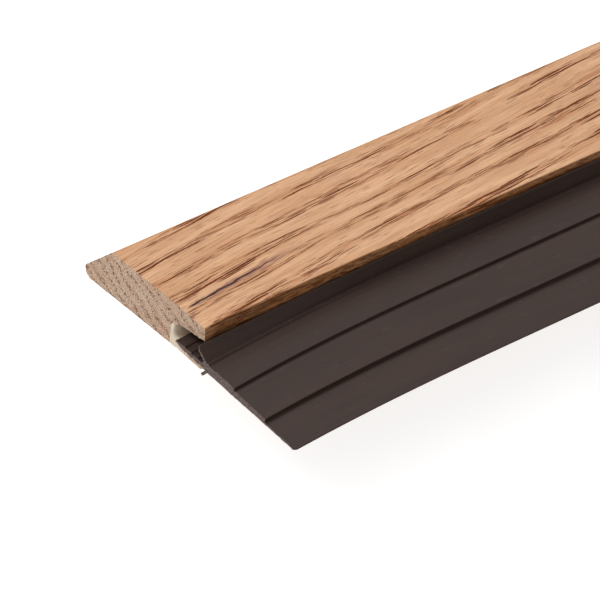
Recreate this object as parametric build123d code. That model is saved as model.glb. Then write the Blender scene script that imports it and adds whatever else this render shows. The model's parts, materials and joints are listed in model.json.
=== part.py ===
from build123d import *
from math import asin, atan2, cos, degrees, hypot, radians, sin, tan
import os

# Door sweep: an oak strip with a grooved lower edge and a brown vinyl sweep glued into the groove.
#
# The strip lies on its flat back. X runs along the length, +Z is the front face's normal and +Y points
# to the bevelled nose, which is the top edge once the strip is on a door. The origin is on the flat
# back, midway along the strip, on the line of the screw holes. Millimetres.
#
# Every piece but the screw holes is one cross-section drawn on the YZ plane and run the whole length.
# Section points are written as (across, height): across is measured from the nose towards the blade's
# free edge, and height from the flat back.

# Oak strip
strip_length = 914.4
strip_width = 35.4
strip_thickness = 9.5
bevel_width = 8.2
nose_height = 2.3
nose_back_round = 1.6
nose_front_round = 0.8
crest_round = 1.2
arris_round = 0.3
lip_corner_round = 0.25

# Groove in the strip's lower edge, flared towards its mouth
groove_depth = 9.4
groove_end_slant = 0.8
groove_end_round = 0.6
front_lip_edge = 3.1
front_lip_root = 4.0
rear_lip_edge = 0.6
rear_lip_root = 1.3
rear_lip_setback = 0.6

# Screw holes
screw_line = 16.0
screw_end_distance = 114.3
screw_count = 4
screw_hole_radius = 1.9
screw_head_radius = 3.9
screw_head_angle = 90.0

# Sweep: where it stands in the groove, and its crease in front of the strip's lower edge
stem_lift = 0.25
stem_end_gap = 0.6
crease_lift = 1.35
crease_gap = 0.85

# Barbed stem and the head that ties stem, fin, bead and blade together
spine_thickness = 0.9
barb_height = 0.23
barb_length = 1.3
barb_back = 0.15
barb_count = 3
first_barb = 1.2
stem_point_length = 2.8
stem_point_thickness = 0.25
head_shoulder = 0.5
head_back = 1.25
head_reach = 0.9
head_round = 0.2

# Blade: three panels, each thinner than the last, flush on the back
inner_thickness = 2.0
inner_end_thickness = 1.85
middle_thickness = 1.4
middle_end_thickness = 1.2
tip_thickness = 0.5
tip_end_thickness = 0.3
inner_end = 8.1
middle_end = 16.9
blade_length = 25.3
blade_tip_gap = 0.2
end_round_share = 0.35
flex_gap = 0.15

# Cover fin and rear bead
fin_drop = 1.3
fin_thickness = 0.4
fin_lean = 4.0
fin_gap = 0.12
bead_neck_length = 1.55
bead_neck_thickness = 0.3
bead_radius = 0.28
bead_angle = 50.0
bead_inset = 0.35
bead_gap = 0.12

# Glue bed
glue_reach = 5.4
glue_hollow_radius = 5.0
glue_hollow_depth = 1.1

# Worked-out places
groove_root = strip_width - groove_depth
groove_roof_edge = strip_thickness - front_lip_edge
groove_roof_root = strip_thickness - front_lip_root
groove_middle = (groove_roof_edge + rear_lip_edge) / 2
rear_lip_end = strip_width - rear_lip_setback
stem_height = groove_middle + stem_lift
crease_height = stem_height + crease_lift
crease_across = strip_width + crease_gap

# The blade slopes so that its free edge just clears the plane of the strip's back
slope = (asin((crease_height - blade_tip_gap) / hypot(inner_thickness, blade_length))
         - atan2(inner_thickness, blade_length))


def blade_point(along, lift):
    """Section point at a distance along the blade's flat back and a height above that back."""
    back_across = crease_across - inner_thickness * sin(slope)
    back_height = crease_height - inner_thickness * cos(slope)
    return (
        back_across + along * cos(slope) + lift * sin(slope),
        back_height - along * sin(slope) + lift * cos(slope),
    )


def on_section(point):
    """A section point in the YZ plane's own coordinates."""
    across, height = point
    return (screw_line - across, height)


def closed_outline(corners):
    """A face from (section point, corner radius) pairs."""
    points = [on_section(point) for point, _ in corners]
    radii = [radius for _, radius in corners]
    return make_face(FilletPolyline(*points, radius=radii, close=True))


def full_length(face):
    """Runs a section face along the whole strip."""
    return extrude(Plane.YZ * face, amount=strip_length / 2, both=True)


def strap(pivot, direction, length, thickness, end_thickness, end_round):
    """Section of a flexing strap: a full round about its pivot, then a taper to its far end.

    pivot is the round's centre, direction the strap's heading in degrees, where 0 runs across the
    section to the blade's free edge and 90 runs up. The taper is taken off the strap's upper side.
    """
    heading = Vector(cos(radians(direction)), sin(radians(direction)))
    upward = Vector(-heading.Y, heading.X)
    centre = Vector(*pivot)

    def place(along, lift):
        spot = centre + heading * along + upward * lift
        return on_section((spot.X, spot.Y))

    radius = thickness / 2
    lower_start = place(0, -radius)
    lower_end = place(length, -radius)
    upper_end = place(length, end_thickness - radius)
    upper_start = place(0, radius)
    edges = Line(lower_start, lower_end) + Line(lower_end, upper_end) + Line(upper_end, upper_start)
    face = make_face(edges + ThreePointArc(upper_start, place(-radius, 0), lower_start))
    ends = face.vertices().filter_by(lambda v: any(
        (Vector(v.X, v.Y) - Vector(*corner)).length < 1e-6 for corner in (lower_end, upper_end)))
    return fillet(ends, end_round) if end_round else face


def groove_root_corners():
    """The groove's two inner corners, roof first, each with its radius."""
    return [
        ((groove_root + groove_end_slant, groove_roof_root), groove_end_round),
        ((groove_root, rear_lip_root), groove_end_round),
    ]


def groove_face():
    """The groove's own section, closed straight across its mouth."""
    mouth = [((rear_lip_end, rear_lip_edge), 0), ((strip_width, groove_roof_edge), 0)]
    return closed_outline(groove_root_corners() + mouth)


def strip_face():
    """The oak strip's section before its screw holes."""
    front = [
        ((0, 0), nose_back_round),
        ((0, nose_height), nose_front_round),
        ((bevel_width, strip_thickness), crest_round),
        ((strip_width, strip_thickness), arris_round),
        ((strip_width, groove_roof_edge), lip_corner_round),
    ]
    rear_lip = [((rear_lip_end, rear_lip_edge), 0), ((rear_lip_end, 0), 0)]
    return closed_outline(front + groove_root_corners() + rear_lip)


def screw_places():
    """Positions of the screw holes along the strip."""
    pitch = (strip_length - 2 * screw_end_distance) / (screw_count - 1)
    return [pitch * (index - (screw_count - 1) / 2) for index in range(screw_count)]


def screw_cutter():
    """One through hole with its countersink, standing on the flat back."""
    sink_depth = (screw_head_radius - screw_hole_radius) / tan(radians(screw_head_angle / 2))
    shank = Cylinder(screw_hole_radius, strip_thickness, align=(Align.CENTER, Align.CENTER, Align.MIN))
    head = Cone(screw_hole_radius, screw_head_radius, sink_depth,
                align=(Align.CENTER, Align.CENTER, Align.MAX))
    return shank + Pos(0, 0, strip_thickness) * head


def stem_face():
    """The barbed stem and the head, less the flexing straps that start from the head."""
    stem_root = crease_across - head_back
    stem_end = groove_root + groove_end_slant + stem_end_gap
    half_spine = spine_thickness / 2
    half_point = stem_point_thickness / 2
    half_barb = half_spine + barb_height
    barb_pitch = (stem_root - first_barb - stem_end - stem_point_length) / (barb_count - 1)
    barb_tips = [stem_root - first_barb - index * barb_pitch for index in range(barb_count)]
    ramp_starts = [tip - barb_length for tip in barb_tips[:-1]] + [stem_end]
    ramp_lifts = [half_spine] * (barb_count - 1) + [half_point]
    spine = closed_outline([
        ((barb_tips[-1], stem_height - half_spine), 0),
        ((barb_tips[-1], stem_height + half_spine), 0),
        ((stem_root + half_spine, stem_height + half_spine), 0),
        ((stem_root + half_spine, stem_height - half_spine), 0),
    ])
    head = closed_outline([
        ((stem_root, stem_height - half_spine), 0),
        ((stem_root, stem_height + half_spine), 0),
        ((crease_across - head_shoulder, crease_height), head_round),
        (blade_point(0, inner_thickness), 0),
        (blade_point(head_reach, inner_thickness), 0),
        (blade_point(head_reach, 0), 0),
        (blade_point(0, 0), 0),
    ])
    face = spine + head
    for tip, start, lift in zip(barb_tips, ramp_starts, ramp_lifts):
        face += closed_outline([
            ((start, stem_height - lift), 0),
            ((start, stem_height + lift), 0),
            ((tip, stem_height + half_barb), 0),
            ((tip + barb_back, stem_height + half_spine), 0),
            ((tip + barb_back, stem_height - half_spine), 0),
            ((tip, stem_height - half_barb), 0),
        ])
    return face


def blade_panel(start, end, thickness, end_thickness, end_round=0.0):
    """One blade panel, its round start a flex gap clear of what it hangs from."""
    pivot_along = start + flex_gap + thickness / 2
    length = end - pivot_along
    return strap(blade_point(pivot_along, thickness / 2), -degrees(slope), length,
                 thickness, end_thickness, end_round)


def fin_face():
    """The cover fin, standing on the head's crease in front of the strip's lower edge."""
    pivot_height = crease_height + fin_gap + fin_thickness / 2
    pivot = (crease_across - fin_thickness / 2, pivot_height)
    return strap(pivot, 90 + fin_lean, strip_thickness - fin_drop - pivot_height,
                 fin_thickness, fin_thickness, fin_thickness * end_round_share)


def bead_face():
    """The rear bead on its thin neck, under the head and pointing back towards the groove."""
    pivot = blade_point(bead_inset, -bead_gap - bead_neck_thickness / 2)
    heading = 180 + bead_angle - degrees(slope)
    centre = Vector(*pivot) + Vector(cos(radians(heading)), sin(radians(heading))) * bead_neck_length
    neck = strap(pivot, heading, bead_neck_length, bead_neck_thickness, bead_neck_thickness, 0)
    return neck + Pos(*on_section((centre.X, centre.Y))) * Circle(bead_radius)


def glue_face():
    """Glue in the groove's end and round the stem, with a hollowed outer face."""
    reach_box = Rectangle(2 * glue_reach, 2 * strip_thickness)
    reach_box = Pos(*on_section((groove_root, groove_middle))) * reach_box
    hollow_across = groove_root + glue_reach - glue_hollow_depth + glue_hollow_radius
    hollow_centre = (hollow_across, groove_middle)
    hollow = Pos(*on_section(hollow_centre)) * Circle(glue_hollow_radius)
    return (groove_face() & reach_box) - hollow - stem_face()


strip = full_length(strip_face())
for place in screw_places():
    strip -= Pos(place, 0, 0) * screw_cutter()

nodes = {
    "oak_strip": strip,
    "glue_bed": full_length(glue_face()),
    "barbed_stem": full_length(stem_face()),
    "blade_inner": full_length(blade_panel(head_reach, inner_end, inner_thickness, inner_end_thickness)),
    "blade_middle": full_length(blade_panel(inner_end, middle_end, middle_thickness, middle_end_thickness)),
    "blade_tip": full_length(
        blade_panel(middle_end, blade_length, tip_thickness, tip_end_thickness,
                    tip_end_thickness * end_round_share)),
    "cover_fin": full_length(fin_face()),
    "rear_bead": full_length(bead_face()),
}

os.makedirs("parts", exist_ok=True)
for name, shape in nodes.items():
    export_step(shape, f"parts/{name}.step")
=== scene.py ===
import json
import math

import bmesh
import bpy
from bpy.props import FloatProperty, FloatVectorProperty, PointerProperty
from mathutils import Matrix, Vector, noise


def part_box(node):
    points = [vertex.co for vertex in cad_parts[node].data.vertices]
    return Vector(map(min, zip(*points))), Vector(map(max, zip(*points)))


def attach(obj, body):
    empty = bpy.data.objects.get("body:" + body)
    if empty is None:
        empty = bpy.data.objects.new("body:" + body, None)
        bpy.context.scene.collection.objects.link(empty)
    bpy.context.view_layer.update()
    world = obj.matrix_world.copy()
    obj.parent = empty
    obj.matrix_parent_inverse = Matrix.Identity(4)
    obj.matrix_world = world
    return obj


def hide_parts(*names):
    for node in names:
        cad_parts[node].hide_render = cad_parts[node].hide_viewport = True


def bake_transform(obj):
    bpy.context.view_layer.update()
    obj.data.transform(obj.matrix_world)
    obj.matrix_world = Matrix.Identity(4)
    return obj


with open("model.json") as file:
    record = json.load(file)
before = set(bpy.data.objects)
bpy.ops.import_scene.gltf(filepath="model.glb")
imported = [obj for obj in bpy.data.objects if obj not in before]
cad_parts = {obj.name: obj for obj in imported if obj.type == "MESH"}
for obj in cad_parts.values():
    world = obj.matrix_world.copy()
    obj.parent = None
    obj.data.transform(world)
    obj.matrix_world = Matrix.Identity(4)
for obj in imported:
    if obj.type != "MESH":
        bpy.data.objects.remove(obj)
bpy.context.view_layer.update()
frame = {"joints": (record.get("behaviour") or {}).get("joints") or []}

bl_info = {
    "name": "Door sweep",
    "version": (1, 0, 0),
    "blender": (4, 5, 0),
    "location": "3D View > Sidebar > Door sweep",
    "description": "An oak door sweep strip with its glued-in vinyl blade",
    "category": "Object",
}

# Section places are written as (across, height): across is measured from the strip's nose towards
# the blade's free edge, and height from the strip's flat back. All lengths are in metres.
MM = 0.001
strip_low, strip_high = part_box("oak_strip")
NOSE_Y = strip_high.y
NEAR_END = strip_low.x
FAR_END = strip_high.x
STRIP_WIDTH = strip_high.y - strip_low.y
STRIP_THICKNESS = strip_high.z
CREASE_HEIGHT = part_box("barbed_stem")[1].z
BLADE_END = NOSE_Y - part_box("blade_tip")[0].y
HINGES = {joint["name"]: Vector(joint["pos_m"]) for joint in frame["joints"]}
SMOOTH_ANGLE = math.radians(32)


# ---------------------------------------------------------------- sizes and colours

class SweepSizes(bpy.types.PropertyGroup):
    """Sizes of the sweep that a user would change."""

    bevel_width: FloatProperty(
        name="Bevel width", description="Width of the strip's sloping face",
        default=8.2 * MM, unit="LENGTH")
    nose_height: FloatProperty(
        name="Nose height", description="Height of the strip's thin edge",
        default=2.3 * MM, unit="LENGTH")
    groove_depth: FloatProperty(
        name="Groove depth", description="Depth of the groove from the strip's lower edge",
        default=9.4 * MM, unit="LENGTH")
    saw_fuzz: FloatProperty(
        name="Saw fuzz", description="How far the sawn end's edges are ragged",
        default=0.16 * MM, unit="LENGTH")
    inner_thickness: FloatProperty(
        name="Inner panel thickness", description="Blade thickness at the crease",
        default=2.0 * MM, unit="LENGTH")
    middle_thickness: FloatProperty(
        name="Middle panel thickness", description="Blade thickness past the first step",
        default=1.4 * MM, unit="LENGTH")
    tip_thickness: FloatProperty(
        name="Outer panel thickness", description="Blade thickness past the second step",
        default=0.5 * MM, unit="LENGTH")
    overhang: FloatProperty(
        name="Overhang", description="How far the vinyl stands out past the strip's sawn end",
        default=2.0 * MM, unit="LENGTH")
    pull_out: FloatProperty(
        name="Pull-out", description="How far the vinyl's cut end is drawn out of the groove",
        default=2.2 * MM, unit="LENGTH")
    pull_run: FloatProperty(
        name="Pull-out run", description="Length over which the vinyl goes back into the groove",
        default=50 * MM, unit="LENGTH")
    glue_bulge: FloatProperty(
        name="Glue bulge", description="How far the glue stands out of the groove's open end",
        default=0.75 * MM, unit="LENGTH")


def colour_property(name, description, default):
    """A colour setting with its default in linear light."""
    return FloatVectorProperty(name=name, description=description, default=default,
                               subtype="COLOR", size=3, min=0.0, max=1.0)


class SweepColours(bpy.types.PropertyGroup):
    """Colours of the sweep's finishes."""

    oak_light: colour_property("Light oak", "Late wood between the pore bands", (0.535, 0.305, 0.162))
    oak_warm: colour_property("Warm oak", "Early wood in the pore bands", (0.415, 0.205, 0.090))
    # Brown oak also tints the strip's lip face, partly as painted shade from the fin.
    oak_brown: colour_property("Brown oak", "Darker threads beside the pores", (0.29, 0.086, 0.016))
    oak_pore: colour_property("Pores", "Open pores filled with finish", (0.100, 0.022, 0.004))
    mineral: colour_property("Mineral streak", "Dark streak in the front face", (0.036, 0.007, 0.006))
    end_light: colour_property("Sawn end, light", "Late wood on the sawn end", (0.50, 0.36, 0.262))
    end_warm: colour_property("Sawn end, warm", "Early wood on the sawn end", (0.48, 0.295, 0.19))
    vinyl: colour_property("Vinyl", "Extruded vinyl", (0.036, 0.021, 0.0165))
    vinyl_cut: colour_property("Cut vinyl", "Vinyl where it was sawn", (0.088, 0.062, 0.055))
    glue: colour_property("Glue", "Hot-melt glue", (0.55, 0.44, 0.317))


def sizes():
    """The size settings of this scene."""
    return bpy.context.scene.door_sweep_sizes


def colours():
    """The colour settings of this scene."""
    return bpy.context.scene.door_sweep_colours


# ---------------------------------------------------------------- section work

def section_point(x, across, height):
    """A point in space from a place along the strip and a section place."""
    return Vector((x, NOSE_Y - across, height))


def round_corner(bm, vert, radius):
    """Rounds one corner of a section face."""
    first, second = ((edge.other_vert(vert).co - vert.co).normalized() for edge in vert.link_edges)
    inside = first.angle(second)
    tangent = radius / math.tan(inside / 2)
    segments = max(2, math.ceil((math.pi - inside) / math.radians(14)))
    bmesh.ops.bevel(bm, geom=[vert], offset=tangent, offset_type="OFFSET", affect="VERTICES",
                    segments=segments, profile=0.5, material=-1, clamp_overlap=True)


def section_face(bm, x, corners, longest_edge=None):
    """A section face from (across, height, radius) corners, its long edges divided."""
    verts = [bm.verts.new(section_point(x, across, height)) for across, height, _ in corners]
    bm.faces.new(verts)
    for vert, (_, _, radius) in zip(verts, corners):
        if radius:
            round_corner(bm, vert, radius)
    if longest_edge:
        for edge in list(bm.edges):
            cuts = math.ceil(edge.calc_length() / longest_edge) - 1
            if cuts > 0:
                bmesh.ops.subdivide_edges(bm, edges=[edge], cuts=cuts)
    bm.faces.ensure_lookup_table()
    return bm.faces[0]


def run_along(bm, face, stations):
    """Extrudes a section face through the stations, as one closed prism."""
    for before, after in zip(stations, stations[1:]):
        grown = bmesh.ops.extrude_face_region(bm, geom=[face])["geom"]
        face = next(item for item in grown if isinstance(item, bmesh.types.BMFace))
        moved = [item for item in grown if isinstance(item, bmesh.types.BMVert)]
        bmesh.ops.translate(bm, verts=moved, vec=(after - before, 0, 0))


def station_list(start, end, fine_end, fine_step, coarse_step):
    """Places along the strip, close together up to fine_end and wider apart after it."""
    fine_count = math.ceil((fine_end - start) / fine_step)
    coarse_count = math.ceil((end - fine_end) / coarse_step)
    fine = [start + (fine_end - start) * index / fine_count for index in range(fine_count)]
    coarse = [fine_end + (end - fine_end) * index / coarse_count for index in range(coarse_count + 1)]
    return fine + coarse


def smooth_with_edges(bm, angle=SMOOTH_ANGLE):
    """Points faces outward and shades them smooth up to edges sharper than the angle."""
    bmesh.ops.recalc_face_normals(bm, faces=bm.faces)
    for face in bm.faces:
        face.smooth = True
    for edge in bm.edges:
        edge.smooth = len(edge.link_faces) == 2 and edge.calc_face_angle() < angle


def new_piece(name, bm, materials):
    """Turns a bmesh into a piece at the origin with its materials."""
    mesh = bpy.data.meshes.new(name)
    bm.to_mesh(mesh)
    bm.free()
    for material in materials:
        mesh.materials.append(material)
    piece = bpy.data.objects.new(name, mesh)
    bpy.context.scene.collection.objects.link(piece)
    return piece


def mark_cut_ends(bm):
    """Gives the faces at both ends of the strip the second material."""
    for face in bm.faces:
        if abs(face.normal.x) > 0.3:
            face.material_index = 1


# ---------------------------------------------------------------- material building

class Signal:
    """A socket in a material's node tree that Python arithmetic adds Math nodes to."""

    def __init__(self, finish, socket):
        self.finish = finish
        self.socket = socket

    def maths(self, operation, *others, clamp=False):
        """A Math node on this signal and the others."""
        node = self.finish.tree.nodes.new("ShaderNodeMath")
        node.operation = operation
        node.use_clamp = clamp
        for socket, value in zip(node.inputs, (self, *others)):
            self.finish.feed(socket, value)
        return Signal(self.finish, node.outputs[0])

    def reflected(self, operation, other):
        """A Math node with a plain number before this signal."""
        node = self.finish.tree.nodes.new("ShaderNodeMath")
        node.operation = operation
        self.finish.feed(node.inputs[0], other)
        self.finish.feed(node.inputs[1], self)
        return Signal(self.finish, node.outputs[0])

    def __add__(self, other):
        return self.maths("ADD", other)

    def __radd__(self, other):
        return self.reflected("ADD", other)

    def __sub__(self, other):
        return self.maths("SUBTRACT", other)

    def __rsub__(self, other):
        return self.reflected("SUBTRACT", other)

    def __mul__(self, other):
        return self.maths("MULTIPLY", other)

    def __rmul__(self, other):
        return self.reflected("MULTIPLY", other)

    def __truediv__(self, other):
        return self.maths("DIVIDE", other)

    def __pow__(self, other):
        return self.maths("POWER", other)

    def __abs__(self):
        return self.maths("ABSOLUTE")

    def ramp(self, low, high):
        """0 below low and 1 above high, with a smooth rise between. low may be above high."""
        return self.finish.add(
            "ShaderNodeMapRange", "Result",
            {"interpolation_type": "SMOOTHSTEP"},
            {"Value": self, "From Min": low, "From Max": high})


class Finish:
    """A material under construction, with one principled shader."""

    def __init__(self, name, **constants):
        self.material = bpy.data.materials.new(name)
        self.material.use_nodes = True
        self.tree = self.material.node_tree
        self.tree.nodes.clear()
        self.shader = self.tree.nodes.new("ShaderNodeBsdfPrincipled")
        output = self.tree.nodes.new("ShaderNodeOutputMaterial")
        self.tree.links.new(self.shader.outputs[0], output.inputs[0])
        for name_, value in constants.items():
            self.shader.inputs[name_.replace("_", " ")].default_value = value

    def feed(self, socket, value):
        """Links a signal to a socket, or sets the socket's own value."""
        if isinstance(value, Signal):
            self.tree.links.new(value.socket, socket)
        else:
            socket.default_value = value

    def add(self, kind, output, settings, values):
        """Adds a node of any kind and gives the signal of its named output."""
        node = self.tree.nodes.new(kind)
        for key, value in settings.items():
            setattr(node, key, value)
        for key, value in values.items():
            socket = next(item for item in node.inputs if key in (item.identifier, item.name))
            self.feed(socket, value)
        return Signal(self, next(item for item in node.outputs if output in (item.identifier, item.name)))

    def set(self, **signals):
        """Links signals to the shader's inputs."""
        for name, value in signals.items():
            self.feed(self.shader.inputs[name.replace("_", " ")], value)

    def object_place(self):
        """The place on the piece, in millimetres."""
        spot = self.add("ShaderNodeTexCoord", "Object", {}, {})
        return self.scaled(spot, (1 / MM, 1 / MM, 1 / MM))

    def attribute_place(self, name):
        """A place stored on the mesh, in millimetres."""
        spot = self.add("ShaderNodeAttribute", "Vector", {"attribute_name": name}, {})
        return self.scaled(spot, (1 / MM, 1 / MM, 1 / MM))

    def scaled(self, place, factors, shift=(0.0, 0.0, 0.0)):
        """A place stretched along each axis, then moved."""
        return self.add("ShaderNodeMapping", "Vector", {}, {"Vector": place, "Scale": factors, "Location": shift})

    def parts_of(self, place):
        """The three coordinates of a place, one by one."""
        node = self.tree.nodes.new("ShaderNodeSeparateXYZ")
        self.feed(node.inputs[0], place)
        return [Signal(self, output) for output in node.outputs]

    def joined(self, x, y, z):
        """A place from three coordinates."""
        return self.add("ShaderNodeCombineXYZ", "Vector", {}, {"X": x, "Y": y, "Z": z})

    def noise(self, place, detail=2.0, roughness=0.5, distortion=0.0):
        """Cloudy noise of unit size at a place."""
        return self.add("ShaderNodeTexNoise", "Fac", {"noise_dimensions": "3D"},
                        {"Vector": place, "Scale": 1.0, "Detail": detail, "Roughness": roughness,
                         "Distortion": distortion})

    def cells(self, place):
        """Distance to the nearest of scattered unit-spaced points."""
        return self.add("ShaderNodeTexVoronoi", "Distance", {"feature": "F1"}, {"Vector": place, "Scale": 1.0})

    def mix(self, mask, colour, other):
        """One colour where the mask is 0 and the other where it is 1."""
        ready = [c if isinstance(c, Signal) else (*c, 1.0) for c in (colour, other)]
        return self.add("ShaderNodeMix", "Result_Color", {"data_type": "RGBA"},
                        {"Factor_Float": mask, "A_Color": ready[0], "B_Color": ready[1]})

    def scaled_colour(self, colour, tone):
        """A colour made lighter or darker by a tone."""
        return self.add("ShaderNodeVectorMath", "Vector", {"operation": "SCALE"},
                        {"Vector": colour, "Scale": tone})

    def bump(self, height, strength, distance):
        """A bumped normal from a height signal."""
        return self.add("ShaderNodeBump", "Normal", {},
                        {"Height": height, "Strength": strength, "Distance": distance})


# ---------------------------------------------------------------- finishes

RING_TILT = math.radians(58.6)
GRAIN_DRIFT = 0.095
EDGE_FACE = (STRIP_WIDTH - NOSE_Y) / MM
RING_PERIOD = 2.5


def growth_place(finish, place):
    """The place in the tree: along the grain, then across the section from the nose, then height."""
    along, across, height = finish.parts_of(place)
    sweep = finish.noise(finish.scaled(place, (1 / 60, 1 / 18, 1 / 18)), detail=1.0) - 0.5
    ripple = finish.noise(finish.scaled(place, (1 / 9, 1 / 3.5, 1 / 3.5), (7.0, 3.0, 1.0)), detail=1.0) - 0.5
    kink = finish.noise(finish.scaled(place, (1 / 1.6, 1 / 1.1, 1 / 1.1), (2.0, 8.0, 5.0)), detail=1.0) - 0.5
    wander = sweep * 5.0 + ripple * 0.5 + kink * 0.2
    return finish.joined(along, along * GRAIN_DRIFT - across + wander, height)


def ring_bands(finish, grown):
    """1 in the pore bands of early wood and 0 in late wood, band after band across the rings."""
    along, across, height = finish.parts_of(grown)
    depth = across * math.cos(RING_TILT) + height * math.sin(RING_TILT)
    uneven = finish.noise(finish.scaled(grown, (1 / 90, 1 / 5, 1 / 5), (1.0, 4.0, 9.0)), detail=1.0) - 0.5
    phase = (depth + uneven * 2.4) * (2 * math.pi / RING_PERIOD)
    return phase.maths("SINE") * 0.5 + 0.5


def mineral_streak(finish, place):
    """Masks of the dark streak that slants across the front face near one end: its core and tail."""
    along, across, _ = finish.parts_of(place)
    from_end = along - NEAR_END / MM
    wobble = finish.noise(finish.scaled(place, (1 / 3, 1 / 2, 1 / 2)), detail=2.0) - 0.5
    line = NOSE_Y / MM - 28.95 + (from_end - 3.5) * 0.125
    off_line = abs(across - line + wobble * 0.8)
    width = abs(from_end - 8.5).ramp(12.0, 2.0) * 0.19 + 0.12
    core = abs(from_end - 11.8).ramp(11.5, 9.6) * (off_line / width).ramp(1.2, 0.7)
    tail = abs(from_end - 15.0).ramp(16.0, 5.0) * off_line.ramp(1.2, 0.15)
    patchy = finish.noise(finish.scaled(place, (1 / 2.2, 3.0, 3.0)), detail=2.0).ramp(0.38, 0.62)
    return core * (0.88 + patchy * 0.12), tail * (0.3 + patchy * 0.45)


def oak_finish():
    """Planed oak under a satin clear coat."""
    c = colours()
    finish = Finish("satin_oak", Coat_Roughness=0.22, IOR=1.5, Specular_IOR_Level=0.08)
    place = finish.object_place()
    grown = growth_place(finish, place)
    bands = ring_bands(finish, grown)
    _, across, height = finish.parts_of(place)
    # edge_face masks the lip's front face. It adds real side-grain pores there, and below it browns and darkens
    # that face as painted shade from the fin.
    edge_face = (across * -1.0).ramp(EDGE_FACE - 0.25, EDGE_FACE - 0.05)
    early = bands.ramp(0.25, 0.9).maths("MAXIMUM", edge_face * 0.6)
    cloud = finish.noise(finish.scaled(grown, (1 / 22, 0.5, 0.5), (3.0, 9.0, 2.0)), detail=2.0)
    fibre = finish.noise(finish.scaled(grown, (1 / 4.5, 5.0, 5.0)), detail=3.0, roughness=0.65)
    thread = finish.noise(finish.scaled(grown, (1 / 13, 2.2, 2.2), (6.0, 1.0, 4.0)), detail=3.0, roughness=0.6)
    ray = finish.noise(finish.scaled(place, (1.1, 1.3, 0.5), (4.0, 2.0, 6.0)), detail=3.0)
    frayed = (finish.noise(finish.scaled(grown, (1.0, 6.5, 6.5)), detail=1.0) - 0.5) * 0.32

    long_tubes = finish.cells(finish.scaled(grown, (1 / 15, 2.0, 2.0)))
    short_tubes = finish.cells(finish.scaled(grown, (1 / 6.5, 3.0, 3.0), (5.0, 8.0, 2.0)))
    grouped = finish.noise(finish.scaled(grown, (1 / 24, 0.6, 0.6), (9.0, 2.0, 7.0)), detail=1.0).ramp(0.36, 0.60)
    long_reach = early * (0.17 + grouped * 0.19) + frayed * 0.6 + 0.04
    short_reach = early * 0.21 + grouped * 0.10 + frayed * 0.7 + 0.12
    deep = (long_reach - long_tubes).ramp(0.0, 0.04)
    fine = (short_reach - short_tubes).ramp(-0.01, 0.05) * 0.66
    pores = deep.maths("MAXIMUM", fine)
    beside = (long_reach + 0.09 - long_tubes).ramp(-0.05, 0.10)
    halo = (thread.ramp(0.44, 0.62) * (0.35 + early * 0.65)).maths("MAXIMUM", beside * 0.7)

    body = finish.mix(cloud.ramp(0.36, 0.64) * 0.65 + early * 0.35, c.oak_light, c.oak_warm)
    # Painted shade: the lip face is tinted brown and its tone lowered, partly for its denser side grain and partly
    # for the fin's shadow.
    tinted = finish.mix((halo * 0.66).maths("MAXIMUM", edge_face * 0.5), body, c.oak_brown)
    tone = (0.56 + fibre * 0.74 + ray * 0.12) * (1.0 - edge_face * (0.26 + thread.ramp(0.42, 0.58) * 0.34))
    wood = finish.mix(pores * 0.96, finish.scaled_colour(tinted, tone), c.oak_pore)
    core, tail = mineral_streak(finish, place)
    browned = finish.mix(tail, wood, (0.14, 0.036, 0.030))
    finish.set(
        Base_Color=finish.mix(core, browned, c.mineral),
        Roughness=0.42 + pores * 0.3 + (fibre - 0.5) * 0.2,
        Coat_Weight=(1.0 - pores) * (1.0 - core) * 0.26,
        Normal=finish.bump(fibre * 0.3 - pores * 0.9, 0.6, 0.00012))
    return finish.material


def sawn_oak_finish():
    """Bare sawn end grain: growth bands, open pores, rays and torn fibres."""
    c = colours()
    finish = Finish("sawn_oak", IOR=1.45, Specular_IOR_Level=0.2)
    place = finish.object_place()
    grown = growth_place(finish, place)
    early = ring_bands(finish, grown).ramp(0.3, 0.9)
    _, across, height = finish.parts_of(place)
    along_ray = across * math.sin(RING_TILT) - height * math.cos(RING_TILT)
    across_ray = across * math.cos(RING_TILT) + height * math.sin(RING_TILT)
    rays = finish.noise(finish.joined(0.0, along_ray * 3.4, across_ray * 0.5), detail=1.0).ramp(0.55, 0.72)
    fuzz = finish.noise(finish.scaled(place, (1.0, 2.6, 2.6)), detail=4.0, roughness=0.75)
    speck = finish.noise(finish.scaled(place, (1.0, 4.6, 4.6), (3.0, 1.0, 4.0)), detail=2.0, roughness=0.7)
    zone = finish.noise(finish.scaled(place, (0.1, 0.35, 0.35), (8.0, 3.0, 2.0)), detail=1.0)
    big = finish.cells(finish.scaled(place, (0.4, 1.9, 1.9)))
    small = finish.cells(finish.scaled(place, (0.4, 3.3, 3.3), (5.0, 1.0, 2.0)))
    big_pores = (early * 0.36 + (speck - 0.5) * 0.3 - big).ramp(-0.03, 0.05)
    small_pores = (early * 0.14 + zone * 0.32 + (fuzz - 0.5) * 0.4 - small).ramp(-0.02, 0.06)
    open_pores = big_pores.maths("MAXIMUM", small_pores * 0.75)

    body = finish.mix(early * 0.35 + zone.ramp(0.35, 0.65) * 0.65, c.end_light, c.end_warm)
    pale = finish.mix(rays * 0.25 + speck.ramp(0.54, 0.68) * 0.7, body, (0.86, 0.67, 0.51))
    dark = finish.mix(speck.ramp(0.48, 0.34) * 0.7, pale, (0.19, 0.105, 0.072))
    tone = 0.32 + fuzz * 1.03
    finish.set(
        Base_Color=finish.mix(open_pores * 0.8, finish.scaled_colour(dark, tone), (0.11, 0.048, 0.03)),
        Roughness=0.78 + fuzz * 0.2,
        Normal=finish.bump(fuzz * 0.6 + speck * 0.4 - open_pores * 1.2, 0.9, 0.00028))
    return finish.material


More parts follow.
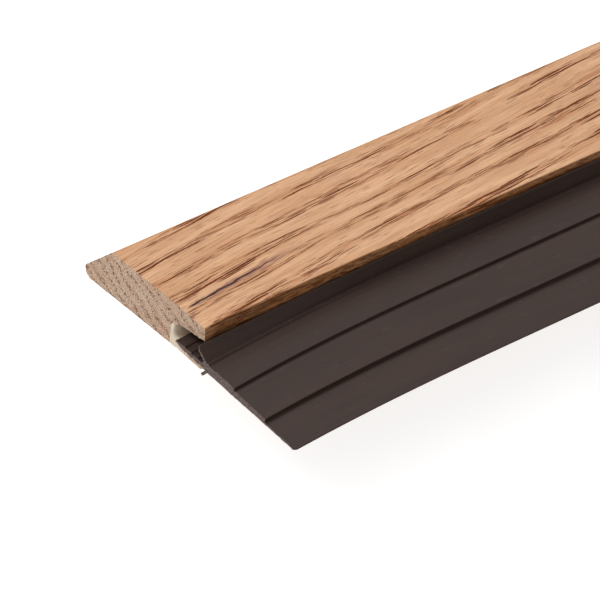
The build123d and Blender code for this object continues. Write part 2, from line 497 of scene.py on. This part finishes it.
def vinyl_finish():
    """Extruded vinyl with fine draw lines along its length."""
    c = colours()
    finish = Finish("drawn_vinyl", IOR=1.5, Specular_IOR_Level=0.15)
    place = finish.attribute_place("straight_place")
    drawn = finish.noise(finish.scaled(place, (1 / 60, 2.4, 2.4)), detail=3.0, roughness=0.6)
    hair = finish.noise(finish.scaled(place, (1 / 25, 9.0, 9.0), (2.0, 5.0, 1.0)), detail=2.0)
    cloud = finish.noise(finish.scaled(place, (1 / 18, 1 / 5, 1 / 5), (8.0, 2.0, 4.0)), detail=3.0)
    matt = finish.noise(finish.scaled(place, (2.2, 2.2, 2.2)), detail=3.0)
    scuff = finish.noise(finish.scaled(place, (1 / 3, 0.9, 0.9), (1.0, 6.0, 3.0)), detail=4.0).ramp(0.60, 0.78)

    tone = 0.52 + drawn * 0.62 + (cloud - 0.5) * 0.35 + matt * 0.16
    base = finish.scaled_colour(tuple(c.vinyl), tone)
    finish.set(
        Base_Color=finish.mix(scuff * 0.22, base, (0.085, 0.066, 0.058)),
        Roughness=0.47 + (drawn - 0.5) * 0.22 + matt * 0.10,
        Normal=finish.bump(drawn * 0.6 + hair * 0.3 + matt * 0.25, 0.35, 0.00008))
    return finish.material


def cut_vinyl_finish():
    """Vinyl where the saw went through it: paler, drier and scored, with a lighter rim that is partly pale chipped
    edge and partly painted highlight.
    """
    c = colours()
    finish = Finish("cut_vinyl", IOR=1.45, Specular_IOR_Level=0.2)
    place = finish.attribute_place("straight_place")
    score = finish.noise(finish.scaled(place, (1.0, 1.4, 6.0)), detail=3.0, roughness=0.6)
    grit = finish.noise(finish.scaled(place, (5.0, 5.0, 5.0)), detail=3.0)
    rim = finish.add("ShaderNodeAttribute", "Fac", {"attribute_name": "cut_rim"}, {})
    chips_and_glint = finish.noise(finish.scaled(place, (2.0, 1.7, 1.7), (5.0, 3.0, 1.0)), detail=2.0)
    # The rim band is made lighter and patchy: partly a pale chipped cut edge, partly a painted highlight where the
    # cut's edges catch the light.
    tone = 0.42 + score.ramp(0.36, 0.62) * 0.85 + grit * 0.35 + rim * (0.8 + chips_and_glint.ramp(0.40, 0.62) * 2.6)
    base = finish.scaled_colour(tuple(c.vinyl_cut), tone)
    finish.set(
        Base_Color=finish.mix(grit.ramp(0.60, 0.72) * 0.55, base, (0.30, 0.25, 0.24)),
        Roughness=0.62 + grit * 0.25,
        Normal=finish.bump(score * 0.7 + grit * 0.4, 0.6, 0.00012))
    return finish.material


def glue_finish():
    """Translucent cream hot-melt glue with soft ripples, browner low down towards the groove's mouth."""
    c = colours()
    finish = Finish("set_glue", IOR=1.48, Subsurface_Weight=0.2, Subsurface_Scale=0.0008,
                    Subsurface_Radius=(1.0, 0.9, 0.8), Coat_Weight=0.2, Coat_Roughness=0.25)
    place = finish.object_place()
    along, across, height = finish.parts_of(place)
    ripple = finish.noise(finish.scaled(place, (1 / 2.5, 0.55, 0.8)), detail=2.0)
    cloudy = finish.noise(finish.scaled(place, (0.35, 0.8, 0.8), (2.0, 4.0, 1.0)), detail=3.0)
    # Browner and more specked low down towards the groove's mouth, beside the rear lip.
    towards_mouth = (across * -1.0).ramp(12.6, 16.5) * height.ramp(3.4, 1.9)
    specks = finish.cells(finish.scaled(place, (1.4, 1.5, 1.5))).ramp(0.17, 0.09)
    tone = 0.80 + ripple * 0.20 + cloudy * 0.16
    base = finish.scaled_colour(tuple(c.glue), tone)
    browned = finish.mix(towards_mouth * 0.8, base, (0.38, 0.19, 0.08))
    finish.set(
        Base_Color=finish.mix(specks * (0.12 + towards_mouth * 0.75), browned, (0.09, 0.04, 0.02)),
        Roughness=0.34 + cloudy * 0.22,
        Normal=finish.bump(ripple * 0.8 + cloudy * 0.4, 0.5, 0.0004))
    return finish.material


def floor_finish():
    """A pale matt floor."""
    finish = Finish("pale_floor", Emission_Color=(0.95, 0.95, 0.95, 1.0), Emission_Strength=0.82)
    place = finish.object_place()
    soft = finish.noise(finish.scaled(place, (1 / 90, 1 / 90, 1 / 90)), detail=2.0)
    finish.set(Base_Color=finish.mix(soft, (0.48, 0.48, 0.48), (0.52, 0.52, 0.52)), Roughness=0.8 + soft * 0.1)
    return finish.material


def finish_named(name, maker):
    """The material of that name, made the first time it is asked for."""
    return bpy.data.materials.get(name) or maker()


# ---------------------------------------------------------------- oak strip

ARRIS_ROUND = 0.3 * MM
CREST_ROUND = 1.2 * MM
SCREW_HOLE_RADIUS = 1.9 * MM
SCREW_HEAD_RADIUS = 3.9 * MM
SCREW_END_DISTANCE = 114.3 * MM
SCREW_COUNT = 4
GROOVE_ROOF_EDGE = 6.4 * MM
GROOVE_ROOF_ROOT = 5.5 * MM
GROOVE_ROOT_SLANT = 0.8 * MM
REAR_LIP_EDGE = 0.6 * MM
REAR_LIP_ROOT = 1.3 * MM
REAR_LIP_END = STRIP_WIDTH - 0.6 * MM
WORN_RUN = 7 * MM
WORN_WIDTH = 9 * MM
WORN_DEPTH = 0.55 * MM


def strip_corners():
    """The oak strip's section."""
    s = sizes()
    root = STRIP_WIDTH - s.groove_depth
    return [
        (0, 0, 1.6 * MM),
        (0, s.nose_height, 0.8 * MM),
        (s.bevel_width, STRIP_THICKNESS, CREST_ROUND),
        (STRIP_WIDTH, STRIP_THICKNESS, ARRIS_ROUND),
        (STRIP_WIDTH, GROOVE_ROOF_EDGE, 0.25 * MM),
        (root + GROOVE_ROOT_SLANT, GROOVE_ROOF_ROOT, 0.6 * MM),
        (root, REAR_LIP_ROOT, 0.6 * MM),
        (REAR_LIP_END, REAR_LIP_EDGE, 0.12 * MM),
        (REAR_LIP_END, 0, 0.15 * MM),
    ]


def roughen_sawn_rim(bm, end, inward):
    """Frays the rim of a sawn end. inward is +1 or -1, the way along X into the strip."""
    fuzz = sizes().saw_fuzz
    for vert in bm.verts:
        if abs(vert.co.x - end) > 1e-6:
            continue
        spot = Vector((inward, vert.co.y / (0.5 * MM), vert.co.z / (0.5 * MM)))
        ragged = noise.noise_vector(spot)
        across = NOSE_Y - vert.co.y
        under_lip = across > STRIP_WIDTH - 9 * MM and 5 * MM < vert.co.z < 7 * MM
        reach = fuzz * (1.9 if under_lip else 1.0)
        vert.co += Vector((inward * (abs(ragged.x) * 0.7) * reach, ragged.y * reach * 0.3, ragged.z * reach * 0.55))
        vert.co.z = max(vert.co.z, 0.0)


def wear_corner(bm):
    """Rubs down the front face's corner at the near end."""
    for vert in bm.verts:
        left = 1 - (vert.co.x - NEAR_END) / WORN_RUN
        across = NOSE_Y - vert.co.y
        if left > 0 and across > STRIP_WIDTH - WORN_WIDTH and vert.co.z > STRIP_THICKNESS / 2:
            share = (across - (STRIP_WIDTH - WORN_WIDTH)) / WORN_WIDTH
            vert.co.z -= WORN_DEPTH * left ** 2 * share ** 1.5 * (vert.co.z / STRIP_THICKNESS) ** 4


def cut_screw_holes(piece):
    """Cuts the countersunk screw holes through the strip."""
    cutter = bmesh.new()
    pitch = (FAR_END - NEAR_END - 2 * SCREW_END_DISTANCE) / (SCREW_COUNT - 1)
    sink = SCREW_HEAD_RADIUS - SCREW_HOLE_RADIUS
    spare = 1 * MM
    for index in range(SCREW_COUNT):
        x = pitch * (index - (SCREW_COUNT - 1) / 2)
        bmesh.ops.create_cone(
            cutter, cap_ends=True, segments=64, radius1=SCREW_HOLE_RADIUS, radius2=SCREW_HOLE_RADIUS,
            depth=STRIP_THICKNESS + 2 * spare, matrix=Matrix.Translation((x, 0, STRIP_THICKNESS / 2)))
    holes = new_piece("screw_hole_cutter", cutter, [])
    sinks = bmesh.new()
    for index in range(SCREW_COUNT):
        x = pitch * (index - (SCREW_COUNT - 1) / 2)
        bmesh.ops.create_cone(
            sinks, cap_ends=True, segments=64, radius1=SCREW_HOLE_RADIUS - spare,
            radius2=SCREW_HEAD_RADIUS + spare, depth=sink + 2 * spare,
            matrix=Matrix.Translation((x, 0, STRIP_THICKNESS - sink / 2)))
    heads = new_piece("screw_head_cutter", sinks, [])
    for cutter_piece in (holes, heads):
        cut = piece.modifiers.new("cut", "BOOLEAN")
        cut.operation = "DIFFERENCE"
        cut.solver = "EXACT"
        cut.object = cutter_piece
    depsgraph = bpy.context.evaluated_depsgraph_get()
    cut_mesh = bpy.data.meshes.new_from_object(piece.evaluated_get(depsgraph))
    piece.modifiers.clear()
    old_mesh = piece.data
    piece.data = cut_mesh
    bpy.data.meshes.remove(old_mesh)
    for cutter_piece in (holes, heads):
        mesh = cutter_piece.data
        bpy.data.objects.remove(cutter_piece)
        bpy.data.meshes.remove(mesh)
    cut_mesh.name = piece.name


class DOORSWEEP_OT_strip(bpy.types.Operator):
    """Make the oak strip"""

    bl_idname = "door_sweep.strip"
    bl_label = "Oak strip"

    def execute(self, context):
        bm = bmesh.new()
        face = section_face(bm, NEAR_END, strip_corners(), longest_edge=0.45 * MM)
        edge_band = 0.22 * MM
        inside = station_list(NEAR_END + edge_band, FAR_END - edge_band, NEAR_END + 8 * MM, 1 * MM, 60 * MM)
        run_along(bm, face, [NEAR_END, *inside, FAR_END])
        bmesh.ops.recalc_face_normals(bm, faces=bm.faces)
        mark_cut_ends(bm)
        wear_corner(bm)
        roughen_sawn_rim(bm, NEAR_END, 1)
        roughen_sawn_rim(bm, FAR_END, -1)
        smooth_with_edges(bm)
        oak = finish_named("satin_oak", oak_finish)
        sawn = finish_named("sawn_oak", sawn_oak_finish)
        piece = new_piece("oak_strip_planed", bm, [oak, sawn])
        cut_screw_holes(piece)
        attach(piece, "rail")
        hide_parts("oak_strip")
        return {"FINISHED"}


# ---------------------------------------------------------------- vinyl

CREASE_ACROSS = STRIP_WIDTH + 0.85 * MM
STEM_HEIGHT = CREASE_HEIGHT - 1.35 * MM
STEM_ROOT = CREASE_ACROSS - 1.25 * MM
HALF_SPINE = 0.45 * MM
BARB_HEIGHT = 0.23 * MM
BARB_LENGTH = 1.3 * MM
BARB_BACK = 0.15 * MM
BARB_PITCH = 1.8 * MM
BARB_COUNT = 3
FIRST_BARB = 1.2 * MM
POINT_LENGTH = 2.8 * MM
HALF_POINT = 0.12 * MM
INNER_END = 8.1 * MM
MIDDLE_END = 16.9 * MM
BLADE_LENGTH = 25.3 * MM
INNER_CUT = 4.5 * MM
MIDDLE_CUT = 12.5 * MM
SHRINK_PER_LENGTH = 0.02
TIP_EDGE = 0.3 * MM
EDGE_ROUND = 0.13 * MM
CORNER_ROUND = 0.8 * MM
FIN_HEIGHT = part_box("cover_fin")[1].z - CREASE_HEIGHT
FIN_LEAN = 0.2 * MM
FIN_THICKNESS = 0.4 * MM
FIN_SAG = 1.5 * MM
FIN_CORNER = 0.7 * MM
BURR = 0.15 * MM
RIM_WIDTH = 0.09 * MM
BEND_LENGTH = 1.4 * MM


def blade_slope():
    """The blade's slope when its free edge stands just clear of the plane of the strip's back."""
    clear = 0.2 * MM
    thick = sizes().inner_thickness
    return math.asin((CREASE_HEIGHT - clear) / math.hypot(thick, BLADE_LENGTH)) - math.atan2(thick, BLADE_LENGTH)


def blade_place(along, lift):
    """Section place at a distance along the blade's flat back and a height above it."""
    slope = blade_slope()
    thick = sizes().inner_thickness
    across = CREASE_ACROSS - thick * math.sin(slope) + along * math.cos(slope) + lift * math.sin(slope)
    height = CREASE_HEIGHT - thick * math.cos(slope) - along * math.sin(slope) + lift * math.cos(slope)
    return across, height


def blade_top(along):
    """Blade thickness at a distance along it."""
    s = sizes()
    if along <= INNER_END:
        return s.inner_thickness - along * SHRINK_PER_LENGTH
    if along <= MIDDLE_END:
        return s.middle_thickness - (along - INNER_END) * SHRINK_PER_LENGTH
    share = (along - MIDDLE_END) / (BLADE_LENGTH - MIDDLE_END)
    return s.tip_thickness + (TIP_EDGE - s.tip_thickness) * share


def end_pull(across, height):
    """How far a section place of the vinyl moves at the cut end, as (across, height)."""
    before = max(0.0, CREASE_ACROSS - across)
    past = max(0.0, across - CREASE_ACROSS)
    return (sizes().pull_out + past * 0.0095, -0.52 * MM + before * 0.081 + past * 0.047)


def pull_share(x, past_crease):
    """1 at the cut end, falling to 0 where the vinyl is fully home in the groove."""
    s = sizes()
    left = 1 - (x - (NEAR_END - s.overhang)) / s.pull_run
    if left <= 0:
        return 0.0
    power = 1.7 + 0.8 * min(1.0, past_crease / (8 * MM))
    return left ** power


def rounded_away(from_cut, radius):
    """How much a rounded corner takes off an edge at a distance from the cut end."""
    short = min(radius, max(0.0, radius - from_cut))
    return radius - math.sqrt(radius ** 2 - short ** 2)


def pull_vinyl(bm):
    """Draws the vinyl's near end a little out of the groove, and rounds the blade's corner."""
    for vert in bm.verts:
        across, height = NOSE_Y - vert.co.y, vert.co.z
        from_cut = vert.co.x - (NEAR_END - sizes().overhang)
        into_corner = (across - (BLADE_END - CORNER_ROUND)) / CORNER_ROUND
        if into_corner > 0 and from_cut < CORNER_ROUND:
            across -= rounded_away(from_cut, CORNER_ROUND) * into_corner
        move = end_pull(across, height)
        share = pull_share(vert.co.x, max(0.0, across - CREASE_ACROSS))
        vert.co = section_point(vert.co.x, across + move[0] * share, height + move[1] * share)


def lean_fin(bm):
    """Leans the fin back against the strip's lip where the vinyl is drawn out of the groove."""
    s = sizes()
    fin_run = 1.6 * s.pull_run
    for vert in bm.verts:
        across, height = NOSE_Y - vert.co.y, vert.co.z
        share = pull_share(vert.co.x, 0.0)
        left = max(0.0, 1 - (vert.co.x - (NEAR_END - s.overhang)) / fin_run)
        up = (height - CREASE_HEIGHT) / FIN_HEIGHT
        middle = CREASE_ACROSS - FIN_THICKNESS / 2
        offset = across - (middle - FIN_LEAN * up)
        from_cut = vert.co.x - (NEAR_END - s.overhang)
        up -= rounded_away(from_cut, FIN_CORNER) / FIN_HEIGHT * max(0.0, 2 * up - 1)
        move = end_pull(CREASE_ACROSS, CREASE_HEIGHT)
        root = Vector((middle + move[0] * share, CREASE_HEIGHT + move[1] * share))
        tip = Vector((middle - FIN_LEAN * (1 - 0.7 * share), CREASE_HEIGHT + FIN_HEIGHT - FIN_SAG * left ** 2))
        way = (tip - root).normalized()
        side = Vector((way.y, -way.x))
        spot = root + (tip - root) * up + side * offset
        vert.co = section_point(vert.co.x, spot.x, spot.y)


def raise_burr(bm, start):
    """Leaves the rim of the vinyl's saw cut a little ragged."""
    for vert in bm.verts:
        if vert.co.x < start + 0.01 * MM:
            ragged = noise.noise_vector(vert.co / (0.45 * MM))
            vert.co += Vector((-abs(ragged.x) * BURR, ragged.y * BURR * 0.25, ragged.z * BURR * 0.35))
            vert.co.z = max(vert.co.z, 0.0)


def bend_cuts(bm, hinge, way, length, cuts=7):
    """Adds loops across a bending place, square to way."""
    for index in range(cuts):
        spot = hinge + way * (length * (index / (cuts - 1) - 0.5))
        bmesh.ops.bisect_plane(bm, geom=bm.verts[:] + bm.edges[:] + bm.faces[:], dist=1e-7,
                               plane_co=spot, plane_no=way)


def vinyl_prism(corners, shape, longest_edge=0.5 * MM):
    """A full-length vinyl section, shaped by the given function, with its straight places stored."""
    s = sizes()
    bm = bmesh.new()
    start = NEAR_END - s.overhang
    face = section_face(bm, start, corners, longest_edge)
    corner_stations = [start + CORNER_ROUND * share for share in (0, 0.06, 0.2, 0.42, 0.7)]
    run_along(bm, face, corner_stations + station_list(
        start + CORNER_ROUND, FAR_END, start + 1.7 * s.pull_run, 1.9 * MM, 45 * MM))
    bmesh.ops.recalc_face_normals(bm, faces=bm.faces)
    # cut_rim marks the band round each sawn cap, which the cut vinyl finish makes lighter, partly as a painted
    # highlight.
    rim = bm.verts.layers.float.new("cut_rim")
    straight = bm.verts.layers.float_vector.new("straight_place")
    for vert in bm.verts:
        vert[rim] = 1.0
        vert[straight] = vert.co.copy()
    caps = [item for item in bm.faces if abs(item.normal.x) > 0.9]
    bmesh.ops.inset_individual(bm, faces=caps, thickness=RIM_WIDTH, depth=-RIM_WIDTH / 2, use_even_offset=True)
    for cap in caps:
        for vert in cap.verts:
            vert[rim] = 0.0
            vert[straight] = vert.co.copy()
    mark_cut_ends(bm)
    shape(bm)
    raise_burr(bm, start)
    return bm


def vinyl_piece(name, bm, hinge, bend_way, bend_length, nodes):
    """Finishes a vinyl piece: adds loops across its bending place at a hinge, shades it, and hides the CAD nodes it
    stands in for.
    """
    if bend_length:
        bend_cuts(bm, hinge, bend_way, bend_length)
    smooth_with_edges(bm)
    materials = [finish_named("drawn_vinyl", vinyl_finish), finish_named("cut_vinyl", cut_vinyl_finish)]
    piece = new_piece(name, bm, materials)
    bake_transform(piece)
    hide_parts(*nodes)
    return piece


def barb_corners(side):
    """The stem's barbed outline on one side, from its point to its root. side is +1 or -1."""
    tips = [STEM_ROOT - FIRST_BARB - BARB_PITCH * index for index in reversed(range(BARB_COUNT))]
    corners = [(tips[0] - POINT_LENGTH, STEM_HEIGHT + side * HALF_POINT, 0)]
    for index, tip in enumerate(tips):
        if index:
            corners.append((tip - BARB_LENGTH, STEM_HEIGHT + side * HALF_SPINE, 0))
        corners.append((tip, STEM_HEIGHT + side * (HALF_SPINE + BARB_HEIGHT), 0.06 * MM))
        corners.append((tip + BARB_BACK, STEM_HEIGHT + side * HALF_SPINE, 0))
    return corners


class DOORSWEEP_OT_stem(bpy.types.Operator):
    """Make the barbed stem with the crease and the start of the blade"""

    bl_idname = "door_sweep.stem"
    bl_label = "Barbed stem and crease"

    def execute(self, context):
        top = barb_corners(1) + [
            (STEM_ROOT, STEM_HEIGHT + HALF_SPINE, 0.3 * MM),
            (CREASE_ACROSS - 0.5 * MM, CREASE_HEIGHT, 0.2 * MM),
            (*blade_place(0.1 * MM, blade_top(0)), 0.05 * MM),
            (*blade_place(0.32 * MM, blade_top(0) - 0.10 * MM), 0.1 * MM),
            (*blade_place(0.50 * MM, blade_top(0) + 0.18 * MM), 0.08 * MM),
            (*blade_place(0.80 * MM, blade_top(0) + 0.22 * MM), 0.1 * MM),
            (*blade_place(1.05 * MM, blade_top(0) - 0.17 * MM), 0.15 * MM),
            (*blade_place(1.9 * MM, blade_top(0) - 0.15 * MM), 0.8 * MM),
            (*blade_place(3.5 * MM, blade_top(3.5 * MM) + 0.05 * MM), 1.2 * MM),
            (*blade_place(INNER_CUT, blade_top(INNER_CUT)), 0),
        ]
        bottom = [
            (*blade_place(INNER_CUT, 0), 0),
            (*blade_place(0, 0), 0.4 * MM),
            (STEM_ROOT, STEM_HEIGHT - HALF_SPINE, 0.3 * MM),
        ] + list(reversed(barb_corners(-1)))
        bm = vinyl_prism(top + bottom, pull_vinyl)
        vinyl_piece("sweep_stem", bm, HINGES["blade_root_flex"],
                    Vector((0, -1, 0)), 2 * MM, ["barbed_stem"])
        return {"FINISHED"}


class DOORSWEEP_OT_blade(bpy.types.Operator):
    """Make the stepped blade past the crease"""

    bl_idname = "door_sweep.blade"
    bl_label = "Stepped blade"

    def execute(self, context):
        foot = 0.1 * MM
        inner = [
            (*blade_place(INNER_CUT, blade_top(INNER_CUT)), 0),
            (*blade_place(INNER_END, blade_top(INNER_END)), EDGE_ROUND),
            (*blade_place(INNER_END - foot, sizes().middle_thickness - foot), 0.05 * MM),
            (*blade_place(INNER_END + 3 * foot, sizes().middle_thickness - foot), 0.15 * MM),
            (*blade_place(INNER_END + 7 * foot, sizes().middle_thickness), 0.3 * MM),
            (*blade_place(MIDDLE_CUT, blade_top(MIDDLE_CUT)), 0),
            (*blade_place(MIDDLE_CUT, 0), 0),
            (*blade_place(INNER_CUT, 0), 0),
        ]
        bm = vinyl_prism(inner, pull_vinyl)
        vinyl_piece("sweep_inner_panel", bm, HINGES["blade_middle_flex"],
                    Vector((0, -1, 0)), BEND_LENGTH, ["blade_inner", "blade_middle"])
        outer = [
            (*blade_place(MIDDLE_CUT, blade_top(MIDDLE_CUT)), 0),
            (*blade_place(MIDDLE_END, blade_top(MIDDLE_END - 1e-6)), EDGE_ROUND),
            (*blade_place(MIDDLE_END - foot, sizes().tip_thickness - foot / 2), 0.05 * MM),
            (*blade_place(MIDDLE_END + 3 * foot, sizes().tip_thickness - foot / 2), 0.1 * MM),
            (*blade_place(BLADE_LENGTH, TIP_EDGE), 0.1 * MM),
            (*blade_place(BLADE_LENGTH, 0), 0.1 * MM),
            (*blade_place(MIDDLE_CUT, 0), 0),
        ]
        bm = vinyl_prism(outer, pull_vinyl)
        vinyl_piece("sweep_outer_panel", bm, HINGES["blade_tip_flex"],
                    Vector((0, -1, 0)), BEND_LENGTH, ["blade_tip"])
        return {"FINISHED"}


class DOORSWEEP_OT_fin(bpy.types.Operator):
    """Make the cover fin that hides the groove's mouth"""

    bl_idname = "door_sweep.fin"
    bl_label = "Cover fin"

    def execute(self, context):
        foot = CREASE_HEIGHT - 0.2 * MM
        outer_foot = CREASE_ACROSS + 0.02 * MM
        inner_foot = CREASE_ACROSS - FIN_THICKNESS - 0.02 * MM
        tip = CREASE_HEIGHT + FIN_HEIGHT
        corners = [
            (inner_foot, foot, 0),
            (inner_foot - FIN_LEAN, tip, 0.12 * MM),
            (CREASE_ACROSS - FIN_LEAN, tip, 0.16 * MM),
            (outer_foot, foot, 0),
        ]
        bm = vinyl_prism(corners, lean_fin, longest_edge=0.5 * MM)
        hinge = HINGES["cover_fin_flex"]
        vinyl_piece("sweep_cover_fin", bm, hinge, Vector((0, 0, 1)), 0.9 * MM, ["cover_fin"])
        return {"FINISHED"}


class DOORSWEEP_OT_bead(bpy.types.Operator):
    """Make the rear bead on its thin neck"""

    bl_idname = "door_sweep.bead"
    bl_label = "Rear bead"

    def execute(self, context):
        root = Vector(blade_place(0.35 * MM, 0))
        heading = math.pi + math.radians(50) - blade_slope()
        way = Vector((math.cos(heading), math.sin(heading)))
        side = Vector((-way.y, way.x))
        half_neck, bulb = 0.15 * MM, 0.28 * MM
        neck_end, bulb_start = 1.62 * MM, 1.55 * MM
        half_outline = [(-0.3 * MM, half_neck, 0), (neck_end, half_neck, 0), (bulb_start, bulb, 0.1 * MM),
                        (bulb_start + 2 * bulb, bulb, 0.27 * MM)]
        outline = half_outline + [(along, -lift, radius) for along, lift, radius in reversed(half_outline)]
        corners = [(*(root + way * along + side * lift), radius) for along, lift, radius in outline]
        bm = vinyl_prism(corners, pull_vinyl, longest_edge=0.4 * MM)
        bend_way = Vector((0, -way.x, way.y))
        vinyl_piece("sweep_rear_bead", bm, HINGES["rear_bead_flex"], bend_way, 0.5 * MM,
                    ["rear_bead"])
        return {"FINISHED"}


# ---------------------------------------------------------------- glue

def glue_corners():
    """The glue's section: a cove behind the stem's point and a skirt under the stem."""
    root = STRIP_WIDTH - sizes().groove_depth
    under_stem = STEM_HEIGHT - 0.78 * MM
    return [
        (root + 1.9 * MM, GROOVE_ROOF_ROOT + 0.1 * MM, 0.15 * MM),
        (root + 0.75 * MM, under_stem - 0.25 * MM, 1.25 * MM),
        (root + 4.2 * MM, under_stem + 0.25 * MM, 0.3 * MM),
        (STRIP_WIDTH + 0.05 * MM, under_stem - 0.25 * MM, 0.2 * MM),
        (REAR_LIP_END + 0.1 * MM, REAR_LIP_EDGE, 0.3 * MM),
        (root + 0.05 * MM, REAR_LIP_ROOT - 0.02 * MM, 0.6 * MM),
        (root + GROOVE_ROOT_SLANT - 0.1 * MM, GROOVE_ROOF_ROOT + 0.02 * MM, 0.6 * MM),
    ]


def bulge_glue(bm):
    """Swells the glue where it stands out of the groove's end, over the rear lip's end grain."""
    s = sizes()
    cove = Vector((STRIP_WIDTH - s.groove_depth + 2.6 * MM, STEM_HEIGHT + 0.5 * MM))
    for vert in bm.verts:
        out = (NEAR_END - vert.co.x) / s.glue_bulge
        if out <= 0:
            continue
        across, height = NOSE_Y - vert.co.y, vert.co.z
        round_off = math.sqrt(max(0.0, 1 - out * out))
        mouthward = min(1.0, max(0.0, (across - (STRIP_WIDTH - 6.5 * MM)) / (6 * MM)))
        away = Vector((across, height)) - cove
        on_wood_side = away.x < -1.3 * MM or height < REAR_LIP_ROOT + 0.35 * MM
        if on_wood_side:
            swell = (0.62 * round_off - 0.12) * (1 - 0.35 * mouthward) * MM
            push = Vector((-0.75 if away.x < 0 else 0.0, -1.25 if height < 2 * MM else -0.2))
            spot = Vector((across, height)) + push * swell
        else:
            spot = Vector((across, height)) + away.normalized() * (1 - round_off) * 0.35 * MM
        lump = noise.noise(Vector((across, height, 0)) / (1.3 * MM)) * 0.08 * MM * min(1.0, 3 * out)
        vert.co = section_point(vert.co.x, spot.x + lump, max(0.03 * MM, spot.y + lump))


class DOORSWEEP_OT_glue(bpy.types.Operator):
    """Make the glue bed that holds the stem"""

    bl_idname = "door_sweep.glue"
    bl_label = "Glue bed"

    def execute(self, context):
        s = sizes()
        bm = bmesh.new()
        face = section_face(bm, NEAR_END - s.glue_bulge, glue_corners(), longest_edge=0.35 * MM)
        outside = [NEAR_END - s.glue_bulge * math.cos(math.radians(turn)) for turn in (0, 15, 30, 45, 60, 75, 88)]
        inside = station_list(NEAR_END + 0.05 * MM, FAR_END, NEAR_END + 30 * MM, 2 * MM, 45 * MM)
        run_along(bm, face, outside + inside)
        bulge_glue(bm)
        for _ in range(2):
            rim = [vert for vert in bm.verts if vert.co.x < NEAR_END + 0.02 * MM]
            bmesh.ops.smooth_vert(bm, verts=rim, factor=0.35, use_axis_x=False, use_axis_y=True, use_axis_z=True)
        smooth_with_edges(bm, math.radians(50))
        piece = new_piece("glue_fillet", bm, [finish_named("set_glue", glue_finish)])
        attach(piece, "rail")
        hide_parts("glue_bed")
        return {"FINISHED"}


# ---------------------------------------------------------------- stage

FLOOR_DROP = 17 * MM
CAMERA_PLACE = (-0.94257, -0.68708, 0.61717)
CAMERA_AZIMUTH = -37.146
CAMERA_ELEVATION = 36.109
CAMERA_LENS = 360.0


def area_light(name, place, target, width, depth, power, colour=(1, 1, 1)):
    """A soft rectangular lamp aimed at a target."""
    data = bpy.data.lights.new(name, "AREA")
    data.shape = "RECTANGLE"
    data.size = width
    data.size_y = depth
    data.energy = power
    data.color = colour
    lamp = bpy.data.objects.new(name, data)
    bpy.context.scene.collection.objects.link(lamp)
    lamp.location = place
    lamp.rotation_euler = (Vector(target) - Vector(place)).to_track_quat("-Z", "Y").to_euler()
    return lamp


class DOORSWEEP_OT_stage(bpy.types.Operator):
    """Make the floor, the lights and the camera"""

    bl_idname = "door_sweep.stage"
    bl_label = "Floor, lights and camera"

    def execute(self, context):
        scene = context.scene
        bm = bmesh.new()
        bmesh.ops.create_grid(bm, x_segments=8, y_segments=8, size=4.0,
                              matrix=Matrix.Translation((0, 0, -FLOOR_DROP)))
        floor = new_piece("floor", bm, [finish_named("pale_floor", floor_finish)])

        world = bpy.data.worlds.new("studio")
        world.use_nodes = True
        world.node_tree.nodes["Background"].inputs["Color"].default_value = (1.0, 1.0, 1.0, 1.0)
        world.node_tree.nodes["Background"].inputs["Strength"].default_value = 0.62
        scene.world = world
        near = (NEAR_END + 0.05, 0, 0)
        area_light("key", (-0.9, 0.45, 1.15), near, 0.7, 0.7, 11.0)
        area_light("fill", (-1.15, -0.55, 0.75), near, 0.9, 0.9, 1.5)
        area_light("back", (0.3, 0.9, 1.1), (0, 0, 0), 1.4, 0.8, 6.6)

        data = bpy.data.cameras.new("camera")
        data.lens = CAMERA_LENS
        data.sensor_width = 36.0
        data.clip_start = 0.05
        camera = bpy.data.objects.new("camera", data)
        camera.location = CAMERA_PLACE
        camera.rotation_euler = (math.radians(90 - CAMERA_ELEVATION), 0, math.radians(CAMERA_AZIMUTH))
        scene.collection.objects.link(camera)
        scene.camera = camera
        scene.view_settings.view_transform = "Standard"
        return {"FINISHED"}


# ---------------------------------------------------------------- add-on

OPERATORS = (
    DOORSWEEP_OT_strip,
    DOORSWEEP_OT_glue,
    DOORSWEEP_OT_stem,
    DOORSWEEP_OT_blade,
    DOORSWEEP_OT_fin,
    DOORSWEEP_OT_bead,
    DOORSWEEP_OT_stage,
)


class DOORSWEEP_PT_panel(bpy.types.Panel):
    """Lists the sweep's pieces and settings"""

    bl_idname = "DOORSWEEP_PT_panel"
    bl_label = "Door sweep"
    bl_space_type = "VIEW_3D"
    bl_region_type = "UI"
    bl_category = "Door sweep"

    def draw(self, context):
        for group in (context.scene.door_sweep_sizes, context.scene.door_sweep_colours):
            for key in group.__annotations__:
                self.layout.prop(group, key)
        for operator in OPERATORS:
            self.layout.operator(operator.bl_idname)


CLASSES = (SweepSizes, SweepColours, *OPERATORS, DOORSWEEP_PT_panel)


def register():
    for cls in CLASSES:
        bpy.utils.register_class(cls)
    bpy.types.Scene.door_sweep_sizes = PointerProperty(type=SweepSizes)
    bpy.types.Scene.door_sweep_colours = PointerProperty(type=SweepColours)


def unregister():
    del bpy.types.Scene.door_sweep_colours
    del bpy.types.Scene.door_sweep_sizes
    for cls in reversed(CLASSES):
        bpy.utils.unregister_class(cls)


def main():
    """Registers the add-on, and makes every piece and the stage."""
    register()
    bpy.ops.door_sweep.strip()
    bpy.ops.door_sweep.glue()
    bpy.ops.door_sweep.stem()
    bpy.ops.door_sweep.blade()
    bpy.ops.door_sweep.fin()
    bpy.ops.door_sweep.bead()
    bpy.ops.door_sweep.stage()


if __name__ == "__main__":
    main()
